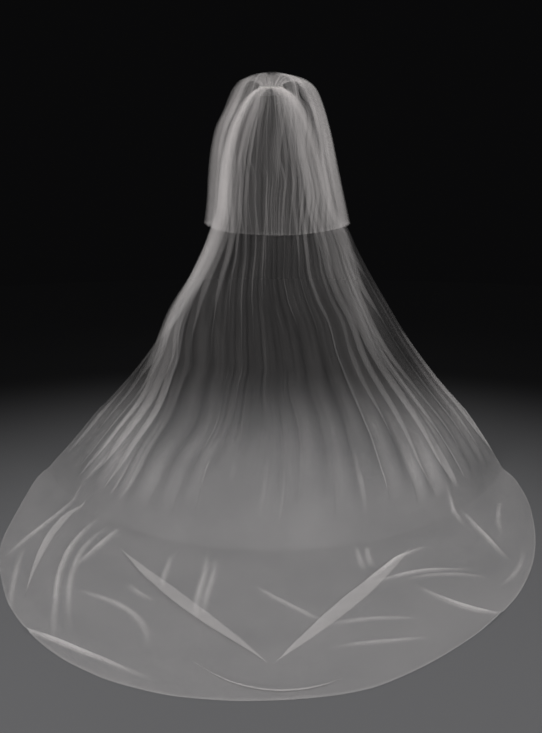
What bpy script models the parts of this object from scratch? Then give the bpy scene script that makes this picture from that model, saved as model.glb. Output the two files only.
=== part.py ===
"""Bridal veil in two tiers of plain tulle, gathered on a comb and spread out behind as an oval train.

Metres, +Z up. The origin is the middle of the comb's band, where the head holds the veil. +X is to the
right seen from behind, +Y is the way the wearer faces, and the floor is CROWN_HEIGHT below the origin.

Each tier is one panel of cloth. A point on it is given by two cloth measures: across, from -1 at the
left side edge to 1 at the right one, and run, the distance down the cloth from the gathered line.
"""
import math

import bmesh
import bpy
import numpy as np

# Heights and cut sizes
CROWN_HEIGHT = 1.63
CLOTH_WALL = 0.0012
SEAM_GAP = 0.0003
LONG_SIDE_RUN = 2.15
LONG_MIDDLE_RUN = 3.05
LEFT_END_SQUARENESS = 4.5
RIGHT_END_SQUARENESS = 2.0
LEFT_END_ROUNDING = 0.90
RIGHT_END_ROUNDING = 0.80
SHORT_SIDE_RUN = 0.745
SHORT_MIDDLE_RUN = 0.81

# Where the long tier has come down to the floor, so that the hanging stretch ends and the train starts
FLOOR_RUN = 2.05

# Gathers at the comb
GATHER_DEPTH = 0.0024
OPENED_RUN = 0.42
POINTS_A_FLUTE = 4

# Comb and the band that is sewn to it
BAND_LENGTH = 0.104
BAND_DEPTH = 0.005
BAND_HEIGHT = 0.008
BAND_ROUNDING = 0.0012
BAR_LENGTH = 0.100
BAR_DEPTH = 0.0042
BAR_HEIGHT = 0.0034
BAR_ROUNDING = 0.0008
TOOTH_COUNT = 20
TOOTH_RADIUS = 0.0011
TOOTH_TIP_RADIUS = 0.0006
TOOTH_LENGTH = 0.042
TOOTH_SIDES = 6
TOOTH_BENDS = 3
TOOTH_START_LEAN = 20.0
TOOTH_END_LEAN = 62.0
TOOTH_ROOT_SINK = 0.0012
BAR_MIDDLE_Z = -BAND_HEIGHT / 2 - SEAM_GAP - BAR_HEIGHT / 2

# Sections of the long tier. Each row is an arc round the wearer at one run down the cloth: back_y and
# back_h are the place of its middle and the height of that above the floor, edge_y and edge_h those of
# the side edges, left_x and right_x how far out each side edge lies, and the wraps the degrees that
# the arc turns from the middle of the back to each side edge.
SECTION_COLUMNS = ("run", "back_y", "back_h", "edge_y", "edge_h", "left_x", "right_x",
                   "left_wrap", "right_wrap")
LONG_SECTIONS = (
    (0.000, -0.0031, 1.6280, -0.0031, 1.6280, 0.0480, 0.0480, 20, 20),
    (0.008, -0.0111, 1.6280, -0.0107, 1.6279, 0.0505, 0.0505, 22, 22),
    (0.030, -0.0310, 1.6265, -0.0200, 1.6215, 0.0650, 0.0670, 32, 32),
    (0.070, -0.0680, 1.6110, -0.0200, 1.6000, 0.0950, 0.0990, 50, 50),
    (0.140, -0.1080, 1.5530, -0.0020, 1.5480, 0.1370, 0.1450, 72, 70),
    (0.250, -0.1240, 1.4450, 0.0260, 1.4500, 0.1790, 0.1890, 92, 85),
    (0.400, -0.1340, 1.2960, 0.0600, 1.3100, 0.2050, 0.2330, 105, 88),
    (0.580, -0.1480, 1.1180, 0.0950, 1.1400, 0.2090, 0.2780, 115, 88),
    (0.700, -0.1680, 1.0000, 0.1400, 1.0250, 0.2280, 0.3440, 122, 88),
    (0.870, -0.2350, 0.8430, 0.1850, 0.8700, 0.2700, 0.4280, 128, 86),
    (1.060, -0.3350, 0.6800, 0.1600, 0.7120, 0.3750, 0.5220, 120, 83),
    (1.250, -0.4500, 0.5200, 0.1000, 0.5600, 0.4900, 0.6180, 104, 80),
    (1.460, -0.5850, 0.3600, 0.0400, 0.4000, 0.6180, 0.7410, 92, 76),
    (1.670, -0.7300, 0.2150, -0.0100, 0.2450, 0.7650, 0.8700, 82, 72),
    (1.850, -0.8700, 0.0950, -0.0450, 0.1000, 0.8900, 0.9650, 73, 67),
    (1.960, -0.9650, 0.0270, -0.0800, 0.0270, 0.9600, 1.0080, 67, 63),
    (2.030, -1.0300, 0.0000, -0.1200, 0.0000, 0.9880, 1.0250, 64, 61),
    (2.150, -1.1500, 0.0000, -0.2300, 0.0000, 1.0050, 1.0450, 62, 60),
    (2.400, -1.4000, 0.0000, -0.4700, 0.0000, 1.0400, 1.1000, 61, 60),
    (2.750, -1.7400, 0.0000, -0.8100, 0.0000, 1.1100, 1.1500, 61, 60),
    (3.050, -2.0300, 0.0000, -1.1000, 0.0000, 1.1000, 1.0300, 60, 60),
)

# Sections of the short tier: up from the band, over the top and down behind, outside the long tier
SHORT_SECTIONS = (
    (0.000, -0.0018, 1.6347, -0.0018, 1.6347, 0.0480, 0.0480, 20, 20),
    (0.006, -0.0016, 1.6407, -0.0014, 1.6406, 0.0490, 0.0490, 21, 21),
    (0.025, 0.0060, 1.6570, 0.0040, 1.6490, 0.0600, 0.0620, 28, 28),
    (0.050, 0.0060, 1.6770, 0.0090, 1.6560, 0.0800, 0.0860, 38, 38),
    (0.080, -0.0180, 1.6900, 0.0090, 1.6590, 0.1060, 0.1140, 48, 48),
    (0.120, -0.0560, 1.6840, 0.0040, 1.6500, 0.1300, 0.1510, 60, 60),
    (0.170, -0.1010, 1.6600, 0.0020, 1.6190, 0.1500, 0.1850, 70, 70),
    (0.250, -0.1430, 1.5920, 0.0060, 1.5460, 0.1760, 0.2120, 80, 80),
    (0.360, -0.1650, 1.4840, 0.0140, 1.4410, 0.2240, 0.2420, 85, 85),
    (0.500, -0.1760, 1.3450, 0.0180, 1.3040, 0.2480, 0.2710, 88, 88),
    (0.660, -0.1830, 1.1850, 0.0160, 1.1480, 0.2600, 0.3060, 88, 88),
    (0.810, -0.1950, 1.0360, 0.0120, 1.0050, 0.2800, 0.3400, 88, 88),
)

# Flutes of each tier from the left side edge to the right: the share of the cloth's width that each
# takes, its depth where it is fully open, and the runs between which it fades out
FLUTE_COLUMNS = ("share", "depth", "fade_from", "fade_to")
LONG_FLUTES = (
    (0.050, 0.009, 0.90, 1.60),
    (0.060, 0.012, 1.20, 2.00),
    (0.056, 0.014, 1.50, 2.40),
    (0.062, 0.013, 1.00, 1.80),
    (0.066, 0.018, 1.60, 2.75),
    (0.070, 0.015, 1.20, 2.20),
    (0.074, 0.012, 1.40, 2.60),
    (0.082, 0.008, 0.80, 1.70),
    (0.086, 0.013, 1.50, 2.50),
    (0.076, 0.008, 0.90, 1.80),
    (0.070, 0.014, 1.30, 2.40),
    (0.062, 0.018, 1.10, 2.00),
    (0.056, 0.015, 1.60, 2.60),
    (0.060, 0.014, 1.00, 1.90),
    (0.058, 0.012, 1.30, 2.10),
    (0.052, 0.009, 0.80, 1.50),
)
SHORT_FLUTES = (
    (0.054, 0.006, 0.70, 1.60),
    (0.058, 0.010, 0.60, 1.40),
    (0.052, 0.012, 0.75, 1.60),
    (0.064, 0.009, 0.55, 1.20),
    (0.060, 0.013, 0.70, 1.50),
    (0.072, 0.010, 0.60, 1.30),
    (0.078, 0.007, 0.50, 1.10),
    (0.070, 0.011, 0.70, 1.50),
    (0.084, 0.006, 0.50, 1.10),
    (0.068, 0.010, 0.60, 1.40),
    (0.062, 0.012, 0.70, 1.60),
    (0.066, 0.009, 0.55, 1.20),
    (0.056, 0.013, 0.70, 1.50),
    (0.060, 0.010, 0.60, 1.40),
    (0.050, 0.009, 0.70, 1.50),
    (0.056, 0.006, 0.60, 1.30),
)

# The train's largest folds: places on the floor where each starts, bends and ends, its width and height
FOLD_COLUMNS = ("start_x", "start_y", "bend_x", "bend_y", "end_x", "end_y", "width", "height")
TRAIN_FOLDS = {
    "point_left": (-0.60, -1.06, -0.37, -1.28, 0.00, -1.82, 0.070, 0.013),
    "point_right": (0.56, -1.04, 0.35, -1.27, 0.00, -1.82, 0.070, 0.013),
    "left_wide": (-0.80, -0.62, -0.82, -0.92, -0.76, -1.43, 0.070, 0.012),
    "left_long": (-0.66, -0.86, -0.73, -1.10, -0.63, -1.64, 0.055, 0.009),
    "left_hem": (-0.75, -1.61, -0.58, -1.73, -0.34, -1.88, 0.055, 0.008),
    "middle_hem": (-0.30, -1.72, -0.06, -1.96, 0.20, -1.89, 0.055, 0.009),
    "right_side": (0.75, -0.60, 0.77, -0.85, 0.82, -1.09, 0.060, 0.010),
    "right_corner": (0.50, -1.32, 0.59, -1.45, 0.72, -1.50, 0.060, 0.010),
    "right_cross": (0.36, -1.34, 0.50, -1.20, 0.68, -1.18, 0.055, 0.007),
}
FOLD_SAMPLES = 25

# Runs of the rows of each mesh, closer together where the cloth turns. The hanging stretch ends with a
# short row that already lies on the floor, so that its wall stands square to the train's.
FALL_ROWS = (0.0, 0.008, 0.030, 0.070, 0.120, 0.180, 0.250, 0.330, 0.420, 0.520, 0.620, 0.720, 0.830,
             0.940, 1.060, 1.190, 1.330, 1.470, 1.610, 1.740, 1.850, 1.950, 2.030, FLOOR_RUN)
TRAIN_ROW_COUNT = 19
SHORT_ROWS = (0.0, 0.006, 0.025, 0.050, 0.080, 0.120, 0.170, 0.240, 0.330, 0.450, 0.570, 0.690,
              SHORT_MIDDLE_RUN)

# Colours: linear red, green and blue
TULLE_COLOUR = (0.90, 0.88, 0.86, 1.0)
BAND_COLOUR = (0.88, 0.85, 0.82, 1.0)
COMB_COLOUR = (0.78, 0.79, 0.80, 1.0)


def table(columns, rows):
    """A table's columns as arrays, by name."""
    return dict(zip(columns, np.array(rows, dtype=float).T))


LONG = table(SECTION_COLUMNS, LONG_SECTIONS)
SHORT = table(SECTION_COLUMNS, SHORT_SECTIONS)
LONG_FLUTE = table(FLUTE_COLUMNS, LONG_FLUTES)
SHORT_FLUTE = table(FLUTE_COLUMNS, SHORT_FLUTES)


def smooth_step(value):
    """Rise from 0 to 1 with level ends as value goes from 0 to 1."""
    inside = np.clip(value, 0.0, 1.0)
    return inside * inside * (3.0 - 2.0 * inside)


def smooth_column(runs, values, at):
    """A cubic curve through a table's column, which never overshoots its rows."""
    steps = np.diff(runs)
    slopes = np.diff(values) / steps
    tangents = np.zeros(len(runs))
    rising = slopes[:-1] * slopes[1:] > 0
    weight_a = 2.0 * steps[1:] + steps[:-1]
    weight_b = steps[1:] + 2.0 * steps[:-1]
    inner = np.zeros(len(slopes) - 1)
    inner[rising] = ((weight_a + weight_b)[rising]
                     / (weight_a[rising] / slopes[:-1][rising] + weight_b[rising] / slopes[1:][rising]))
    tangents[1:-1] = inner
    tangents[0] = slopes[0]
    tangents[-1] = slopes[-1]
    index = np.clip(np.searchsorted(runs, at, side="right") - 1, 0, len(steps) - 1)
    width = steps[index]
    part = np.clip((at - runs[index]) / width, 0.0, 1.0)
    square = part * part
    cube = square * part
    return ((2 * cube - 3 * square + 1) * values[index] + (cube - 2 * square + part) * width * tangents[index]
            + (3 * square - 2 * cube) * values[index + 1] + (cube - square) * width * tangents[index + 1])


def place_on_form(sections, across, run):
    """The plain form of a tier, before its flutes: an arc at each run, open at the front."""
    at = {name: smooth_column(sections["run"], sections[name], run)
          for name in SECTION_COLUMNS if name != "run"}
    left = across < 0
    edge_x = np.where(left, at["left_x"], at["right_x"])
    wrap = np.radians(np.where(left, at["left_wrap"], at["right_wrap"]))
    reach = np.abs(across)
    angle = reach * wrap
    x = np.sign(across) * edge_x * np.sin(angle) / np.sin(wrap)
    y = at["back_y"] + (at["edge_y"] - at["back_y"]) * (1.0 - np.cos(angle)) / (1.0 - np.cos(wrap))
    height = at["back_h"] + (at["edge_h"] - at["back_h"]) * reach * reach
    return np.stack((x, y, height - CROWN_HEIGHT), axis=-1)


def outward(sections, across, run):
    """Unit normals of the plain form: away from the wearer, and up on the floor."""
    small = 0.001
    low_across = np.clip(across - small, -1.0, 1.0)
    high_across = np.clip(across + small, -1.0, 1.0)
    low_run = np.clip(run - small, 0.0, sections["run"][-1])
    high_run = np.clip(run + small, 0.0, sections["run"][-1])
    sideways = place_on_form(sections, high_across, run) - place_on_form(sections, low_across, run)
    downwards = place_on_form(sections, across, high_run) - place_on_form(sections, across, low_run)
    normal = np.cross(downwards, sideways)
    return normal / np.linalg.norm(normal, axis=-1, keepdims=True)


def flute_edges(flutes):
    """Where each flute starts across the cloth, from -1 to 1."""
    shares = flutes["share"] / flutes["share"].sum()
    return np.concatenate(([-1.0], -1.0 + 2.0 * np.cumsum(shares)))


def flute_depth(flutes, across, run):
    """How far the cloth stands out from its plain form."""
    edges = flute_edges(flutes)
    index = np.clip(np.searchsorted(edges, across, side="right") - 1, 0, len(flutes["share"]) - 1)
    part = (across - edges[index]) / (edges[index + 1] - edges[index])
    wave = 0.5 - 0.5 * np.cos(2.0 * math.pi * part)
    opened = smooth_step(run / OPENED_RUN)
    depth = GATHER_DEPTH + (flutes["depth"][index] - GATHER_DEPTH) * opened
    fading = (run - flutes["fade_from"][index]) / (flutes["fade_to"][index] - flutes["fade_from"][index])
    return wave * depth * (1.0 - smooth_step(fading))


def fold_height(points):
    """How far the train's folds lift the cloth off the floor."""
    lift = np.zeros(points.shape[:-1])
    part = np.linspace(0.0, 1.0, FOLD_SAMPLES)
    for row in TRAIN_FOLDS.values():
        fold = dict(zip(FOLD_COLUMNS, row))
        route = [(1 - part) ** 2 * fold["start_" + axis] + 2 * part * (1 - part) * fold["bend_" + axis]
                 + part ** 2 * fold["end_" + axis] for axis in "xy"]
        away = np.hypot(points[..., 0, None] - route[0], points[..., 1, None] - route[1])
        nearest = part[np.argmin(away, axis=-1)]
        taper = np.sin(math.pi * np.clip(0.08 + 0.84 * nearest, 0.0, 1.0))
        side = np.clip(away.min(axis=-1) / fold["width"], 0.0, 1.0)
        lift = np.maximum(lift, fold["height"] * taper * (1.0 - smooth_step(side)))
    return lift


def end_run(across):
    """The run of the long tier's hem: straight sides, then an oval end."""
    squareness = np.where(across < 0, LEFT_END_SQUARENESS, RIGHT_END_SQUARENESS)
    rounding = np.where(across < 0, LEFT_END_ROUNDING, RIGHT_END_ROUNDING)
    oval = np.clip(1.0 - np.abs(across) ** squareness, 0.0, 1.0) ** rounding
    return LONG_SIDE_RUN + (LONG_MIDDLE_RUN - LONG_SIDE_RUN) * oval


def short_end_run(across):
    """The run of the short tier's hem, a little longer behind than at the sides."""
    return SHORT_SIDE_RUN + (SHORT_MIDDLE_RUN - SHORT_SIDE_RUN) * (1.0 - across * across)


def long_tier_points(across, run):
    points = place_on_form(LONG, across, run)
    points = points + outward(LONG, across, run) * flute_depth(LONG_FLUTE, across, run)[..., None]
    on_floor = smooth_step((run - FLOOR_RUN) / 0.10)
    points[..., 2] += fold_height(points) * on_floor
    return points


def short_tier_points(across, run):
    points = place_on_form(SHORT, across, run)
    return points + outward(SHORT, across, run) * flute_depth(SHORT_FLUTE, across, run)[..., None]


def across_stations(flutes):
    """The columns of a mesh: the same number of points on every flute."""
    edges = flute_edges(flutes)
    parts = np.arange(POINTS_A_FLUTE) / POINTS_A_FLUTE
    inner = (edges[:-1, None] + (edges[1:] - edges[:-1])[:, None] * parts).ravel()
    return np.append(inner, 1.0)


def material(name, colour, roughness, metallic=0.0, alpha=1.0):
    made = bpy.data.materials.new(name)
    made.use_nodes = True
    shader = made.node_tree.nodes["Principled BSDF"]
    shader.inputs["Base Color"].default_value = colour
    shader.inputs["Roughness"].default_value = roughness
    shader.inputs["Metallic"].default_value = metallic
    shader.inputs["Alpha"].default_value = alpha
    return made


def cloth(name, points, made_of):
    """One stretch of cloth: a grid moved to its points, as an even wall outside them."""
    rows, columns = points.shape[:2]
    bpy.ops.mesh.primitive_grid_add(x_subdivisions=columns - 1, y_subdivisions=rows - 1, size=2.0)
    panel = bpy.context.object
    panel.name = name
    mesh = panel.data
    mesh.name = name
    for vertex in mesh.vertices:
        column = round((vertex.co.x + 1.0) / 2.0 * (columns - 1))
        row = round((1.0 - vertex.co.y) / 2.0 * (rows - 1))
        vertex.co = points[row, column]
    mesh.materials.append(made_of)
    corners = panel.modifiers.new("Triangles", "TRIANGULATE")
    corners.quad_method = "SHORTEST_DIAGONAL"
    wall = panel.modifiers.new("Wall", "SOLIDIFY")
    wall.thickness = CLOTH_WALL
    wall.offset = 1.0
    mesh.shade_smooth()
    return panel


def rounded_bar(name, size, centre, rounding, made_of):
    bpy.ops.mesh.primitive_cube_add(size=1.0, location=centre)
    bar = bpy.context.object
    bar.name = name
    bar.scale = size
    bpy.ops.object.transform_apply(location=False, rotation=False, scale=True)
    edge = bar.modifiers.new("Rounding", "BEVEL")
    edge.width = rounding
    edge.segments = 2
    bar.data.materials.append(made_of)
    return bar


def tooth_points(root):
    """A tooth's centre line, from inside the bar forwards and down over the crown."""
    points = [root]
    step = TOOTH_LENGTH / TOOTH_BENDS
    for bend in range(TOOTH_BENDS):
        lean = math.radians(TOOTH_START_LEAN
                            + (TOOTH_END_LEAN - TOOTH_START_LEAN) * bend / (TOOTH_BENDS - 1))
        last = points[-1]
        points.append((last[0], last[1] + step * math.cos(lean), last[2] - step * math.sin(lean)))
    return points


def comb_teeth():
    """All the teeth as one mesh of tapered wires, ready to be joined to the bar."""
    curve = bpy.data.curves.new("teeth", "CURVE")
    curve.dimensions = "3D"
    curve.bevel_depth = 1.0
    curve.bevel_resolution = (TOOTH_SIDES - 4) // 2
    curve.use_fill_caps = True
    spread = BAR_LENGTH - 4 * TOOTH_RADIUS
    for tooth in range(TOOTH_COUNT):
        x = -spread / 2 + spread * tooth / (TOOTH_COUNT - 1)
        points = tooth_points((x, BAR_DEPTH / 2 - TOOTH_ROOT_SINK, BAR_MIDDLE_Z))
        spline = curve.splines.new("POLY")
        spline.points.add(len(points) - 1)
        for index, point in enumerate(points):
            spline.points[index].co = (*point, 1.0)
            share = index / (len(points) - 1)
            spline.points[index].radius = TOOTH_RADIUS + (TOOTH_TIP_RADIUS - TOOTH_RADIUS) * share
    wires = bpy.data.objects.new("teeth", curve)
    bpy.context.scene.collection.objects.link(wires)
    bpy.context.view_layer.update()
    evaluated = wires.evaluated_get(bpy.context.evaluated_depsgraph_get())
    mesh = bpy.data.meshes.new_from_object(evaluated)
    teeth = bpy.data.objects.new("comb_teeth_cutter", mesh)
    teeth.matrix_world = wires.matrix_world
    bpy.data.objects.remove(wires)
    return weld_caps(teeth)


def weld_caps(made):
    shape = bmesh.new()
    shape.from_mesh(made.data)
    bmesh.ops.remove_doubles(shape, verts=shape.verts, dist=0.00001)
    shape.to_mesh(made.data)
    shape.free()
    return made


def build_comb(parts, cutters):
    metal = material("comb_metal", COMB_COLOUR, 0.25, metallic=1.0)
    bar = rounded_bar("comb", (BAR_LENGTH, BAR_DEPTH, BAR_HEIGHT), (0.0, 0.0, BAR_MIDDLE_Z), BAR_ROUNDING,
                      metal)
    teeth = comb_teeth()
    teeth.hide_render = True
    teeth.display_type = "WIRE"
    cutters.objects.link(teeth)
    union = bar.modifiers.new("Teeth", "BOOLEAN")
    union.operation = "UNION"
    union.object = teeth
    move_to(parts, bar)


def build_band(parts):
    ribbon = material("band_ribbon", BAND_COLOUR, 0.6)
    band = rounded_bar("gather_band", (BAND_LENGTH, BAND_DEPTH, BAND_HEIGHT), (0.0, 0.0, 0.0),
                       BAND_ROUNDING, ribbon)
    move_to(parts, band)


def build_long_tier(parts, tulle):
    across = across_stations(LONG_FLUTE)[None, :]
    fall_run = np.array(FALL_ROWS)[:, None]
    fall = cloth("long_tier_fall", long_tier_points(*np.broadcast_arrays(across, fall_run)), tulle)
    move_to(parts, fall)
    start = FLOOR_RUN + SEAM_GAP
    rows = np.linspace(0.0, 1.0, TRAIN_ROW_COUNT)[:, None]
    train_run = start + (end_run(across) - start) * rows
    train = cloth("long_tier_train", long_tier_points(*np.broadcast_arrays(across, train_run)), tulle)
    move_to(parts, train)


def build_short_tier(parts, tulle):
    across = across_stations(SHORT_FLUTE)[None, :]
    rows = np.array(SHORT_ROWS)[:, None] / SHORT_MIDDLE_RUN
    run = short_end_run(across) * rows
    short = cloth("short_tier", short_tier_points(*np.broadcast_arrays(across, run)), tulle)
    move_to(parts, short)


def move_to(collection, made):
    for holder in list(made.users_collection):
        holder.objects.unlink(made)
    collection.objects.link(made)


def main():
    for made in list(bpy.data.objects):
        bpy.data.objects.remove(made, do_unlink=True)
    parts = bpy.data.collections.new("bridal_veil")
    cutters = bpy.data.collections.new("cutters")
    bpy.context.scene.collection.children.link(parts)
    bpy.context.scene.collection.children.link(cutters)
    tulle = material("tulle", TULLE_COLOUR, 0.7, alpha=0.35)
    build_long_tier(parts, tulle)
    build_short_tier(parts, tulle)
    build_band(parts)
    build_comb(parts, cutters)


main()
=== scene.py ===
import math

import bmesh
import bpy
import numpy as np
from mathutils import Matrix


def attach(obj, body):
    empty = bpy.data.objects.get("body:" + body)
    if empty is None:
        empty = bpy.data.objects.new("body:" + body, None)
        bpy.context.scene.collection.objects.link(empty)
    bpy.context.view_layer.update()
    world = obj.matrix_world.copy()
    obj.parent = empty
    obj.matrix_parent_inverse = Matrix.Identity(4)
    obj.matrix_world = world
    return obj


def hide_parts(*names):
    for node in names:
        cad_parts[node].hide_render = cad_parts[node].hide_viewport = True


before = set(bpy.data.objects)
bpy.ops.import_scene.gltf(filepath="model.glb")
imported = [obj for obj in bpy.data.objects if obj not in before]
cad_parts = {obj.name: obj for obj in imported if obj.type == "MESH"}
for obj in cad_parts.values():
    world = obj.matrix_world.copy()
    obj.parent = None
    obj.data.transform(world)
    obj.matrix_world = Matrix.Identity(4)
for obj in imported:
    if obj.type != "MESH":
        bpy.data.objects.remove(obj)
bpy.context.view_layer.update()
bpy.ops.object.select_all(action="DESELECT")

# Sizes of the veil, in metres. The origin is the middle of the comb's band, and the floor is CROWN_HEIGHT
# below it.
CROWN_HEIGHT = 1.63
CLOTH_WIDTH = 2.74
FLOOR_RUN = 2.05
LONG_SIDE_RUN = 2.15
LONG_MIDDLE_RUN = 3.05
LEFT_END_SQUARENESS = 4.5
RIGHT_END_SQUARENESS = 2.0
LEFT_END_ROUNDING = 0.90
RIGHT_END_ROUNDING = 0.80
SHORT_SIDE_RUN = 0.745
SHORT_MIDDLE_RUN = 0.81

# Sections of each tier, as in the part: arcs round the wearer, one row for each run down the cloth.
# A place on an arc is told by across, from -1 at the left side edge to 1 at the right one.
SECTION_COLUMNS = ("run", "back_y", "back_h", "edge_y", "edge_h", "left_x", "right_x",
                   "left_wrap", "right_wrap")
LONG_SECTIONS = (
    (0.000, -0.0031, 1.6280, -0.0031, 1.6280, 0.0480, 0.0480, 20, 20),
    (0.008, -0.0111, 1.6280, -0.0107, 1.6279, 0.0505, 0.0505, 22, 22),
    (0.030, -0.0310, 1.6265, -0.0200, 1.6215, 0.0650, 0.0670, 32, 32),
    (0.070, -0.0680, 1.6110, -0.0200, 1.6000, 0.0950, 0.0990, 50, 50),
    (0.140, -0.1080, 1.5530, -0.0020, 1.5480, 0.1370, 0.1450, 72, 70),
    (0.250, -0.1240, 1.4450, 0.0260, 1.4500, 0.1790, 0.1890, 92, 85),
    (0.400, -0.1340, 1.2960, 0.0600, 1.3100, 0.2050, 0.2330, 105, 88),
    (0.580, -0.1480, 1.1180, 0.0950, 1.1400, 0.2090, 0.2780, 115, 88),
    (0.700, -0.1680, 1.0000, 0.1400, 1.0250, 0.2280, 0.3440, 122, 88),
    (0.870, -0.2350, 0.8430, 0.1850, 0.8700, 0.2700, 0.4280, 128, 86),
    (1.060, -0.3350, 0.6800, 0.1600, 0.7120, 0.3750, 0.5220, 120, 83),
    (1.250, -0.4500, 0.5200, 0.1000, 0.5600, 0.4900, 0.6180, 104, 80),
    (1.460, -0.5850, 0.3600, 0.0400, 0.4000, 0.6180, 0.7410, 92, 76),
    (1.670, -0.7300, 0.2150, -0.0100, 0.2450, 0.7650, 0.8700, 82, 72),
    (1.850, -0.8700, 0.0950, -0.0450, 0.1000, 0.8900, 0.9650, 73, 67),
    (1.960, -0.9650, 0.0270, -0.0800, 0.0270, 0.9600, 1.0080, 67, 63),
    (2.030, -1.0300, 0.0000, -0.1200, 0.0000, 0.9880, 1.0250, 64, 61),
    (2.150, -1.1500, 0.0000, -0.2300, 0.0000, 1.0050, 1.0450, 62, 60),
    (2.400, -1.4000, 0.0000, -0.4700, 0.0000, 1.0400, 1.1000, 61, 60),
    (2.750, -1.7400, 0.0000, -0.8100, 0.0000, 1.1100, 1.1500, 61, 60),
    (3.050, -2.0300, 0.0000, -1.1000, 0.0000, 1.1000, 1.0300, 60, 60),
)
SHORT_SECTIONS = (
    (0.000, -0.0018, 1.6347, -0.0018, 1.6347, 0.0480, 0.0480, 20, 20),
    (0.006, -0.0016, 1.6407, -0.0014, 1.6406, 0.0490, 0.0490, 21, 21),
    (0.025, 0.0060, 1.6570, 0.0040, 1.6490, 0.0600, 0.0620, 28, 28),
    (0.050, 0.0060, 1.6770, 0.0090, 1.6560, 0.0800, 0.0860, 38, 38),
    (0.080, -0.0180, 1.6900, 0.0090, 1.6590, 0.1060, 0.1140, 48, 48),
    (0.120, -0.0560, 1.6840, 0.0040, 1.6500, 0.1300, 0.1510, 60, 60),
    (0.170, -0.1010, 1.6600, 0.0020, 1.6190, 0.1500, 0.1850, 70, 70),
    (0.250, -0.1430, 1.5920, 0.0060, 1.5460, 0.1760, 0.2120, 80, 80),
    (0.360, -0.1650, 1.4840, 0.0140, 1.4410, 0.2240, 0.2420, 85, 85),
    (0.500, -0.1760, 1.3450, 0.0180, 1.3040, 0.2480, 0.2710, 88, 88),
    (0.660, -0.1830, 1.1850, 0.0160, 1.1480, 0.2600, 0.3060, 88, 88),
    (0.810, -0.1950, 1.0360, 0.0120, 1.0050, 0.2800, 0.3400, 88, 88),
)

# Fullness of each tier: how many layers of cloth lie over each other, against the rest of the row. One row
# for each run, and one column for each place across the form.
PLACES = (-1.0, -0.8, -0.6, -0.3, 0.0, 0.3, 0.6, 0.8, 1.0)
FULLNESS_COLUMNS = ("run", "left_edge", "left_front", "left_side", "left_back", "middle",
                    "right_back", "right_side", "right_front", "right_edge")
LONG_FULLNESS = (
    (0.00, 1.0, 1.0, 1.0, 1.0, 1.0, 1.0, 1.0, 1.0, 1.0),
    (0.03, 1.0, 1.1, 1.1, 0.9, 0.6, 0.9, 1.1, 1.1, 1.0),
    (0.06, 1.0, 1.2, 1.2, 0.8, 0.4, 0.8, 1.2, 1.2, 1.0),
    (0.14, 1.0, 1.2, 1.2, 0.9, 0.5, 0.9, 1.2, 1.2, 1.0),
    (0.35, 1.0, 1.2, 1.2, 0.9, 0.6, 0.9, 1.2, 1.2, 1.0),
    (0.62, 0.9, 1.2, 1.2, 0.9, 0.7, 0.9, 1.2, 1.2, 0.9),
    (0.87, 0.9, 1.1, 1.1, 0.9, 0.8, 0.9, 1.2, 1.1, 0.9),
    (1.10, 0.9, 1.1, 1.1, 0.9, 0.8, 0.9, 1.2, 1.0, 0.9),
    (1.46, 0.9, 1.0, 1.1, 0.9, 0.8, 0.9, 1.1, 1.0, 0.9),
    (1.85, 1.0, 1.0, 1.1, 0.9, 0.8, 0.9, 1.1, 1.0, 1.0),
    (2.05, 1.0, 1.0, 1.0, 1.0, 1.0, 1.0, 1.0, 1.0, 1.0),
)
SHORT_FULLNESS = (
    (0.00, 1.0, 1.0, 1.0, 1.0, 1.0, 1.0, 1.0, 1.0, 1.0),
    (0.06, 1.0, 1.0, 1.1, 1.1, 1.0, 1.1, 1.1, 1.0, 1.0),
    (0.12, 0.9, 1.0, 1.2, 1.2, 0.7, 1.2, 1.2, 1.0, 0.9),
    (0.18, 0.9, 1.1, 1.2, 1.1, 0.6, 1.1, 1.2, 1.1, 0.9),
    (0.26, 0.9, 1.1, 1.2, 1.0, 0.6, 1.0, 1.2, 1.1, 0.9),
    (0.40, 0.9, 1.1, 1.2, 0.9, 0.6, 0.9, 1.2, 1.1, 0.9),
    (0.60, 0.9, 1.1, 1.2, 0.9, 0.7, 0.9, 1.2, 1.1, 0.9),
    (0.81, 0.9, 1.1, 1.1, 0.9, 0.8, 0.9, 1.1, 1.1, 0.9),
)

# Streaks down each tier: a route from run to run over places across the form, how wide it is there, and
# how much fuller the cloth is along it. A gap between bundles has fewer layers, so its number is negative.
STREAK_COLUMNS = ("from_run", "from_place", "bend_run", "bend_place", "to_run", "to_place", "width", "layers")
LONG_STREAKS = {
    "bundle": (0.28, 0.07, 0.94, -0.13, 1.85, -0.22, 0.060, 1.8),
    "beside_bundle": (0.55, 0.04, 1.05, -0.04, 1.75, -0.07, 0.030, 0.9),
    "right_back_streak": (0.50, 0.30, 0.85, 0.24, 1.35, 0.19, 0.030, 1.0),
    "right_back_faint": (0.70, 0.38, 1.10, 0.34, 1.60, 0.32, 0.025, 0.6),
    "right_side_bundle": (0.25, 0.52, 0.80, 0.56, 1.30, 0.50, 0.050, 0.6),
    "right_fold": (0.50, 0.90, 1.10, 0.58, 1.75, 0.68, 0.028, 1.2),
    "left_back_streak": (0.30, -0.30, 0.90, -0.36, 1.60, -0.38, 0.040, 0.7),
    "left_side_bundle": (0.25, -0.55, 0.80, -0.62, 1.60, -0.60, 0.050, 0.6),
    "left_front_streak": (0.30, -0.82, 0.90, -0.86, 1.35, -0.80, 0.040, 0.9),
    "left_fold": (1.15, -0.80, 1.45, -0.66, 1.85, -0.72, 0.030, 1.0),
    "left_gap": (0.60, -0.46, 0.95, -0.50, 1.40, -0.49, 0.040, -0.5),
    "right_gap": (0.60, 0.66, 0.85, 0.68, 1.05, 0.64, 0.030, -0.4),
}
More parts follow.
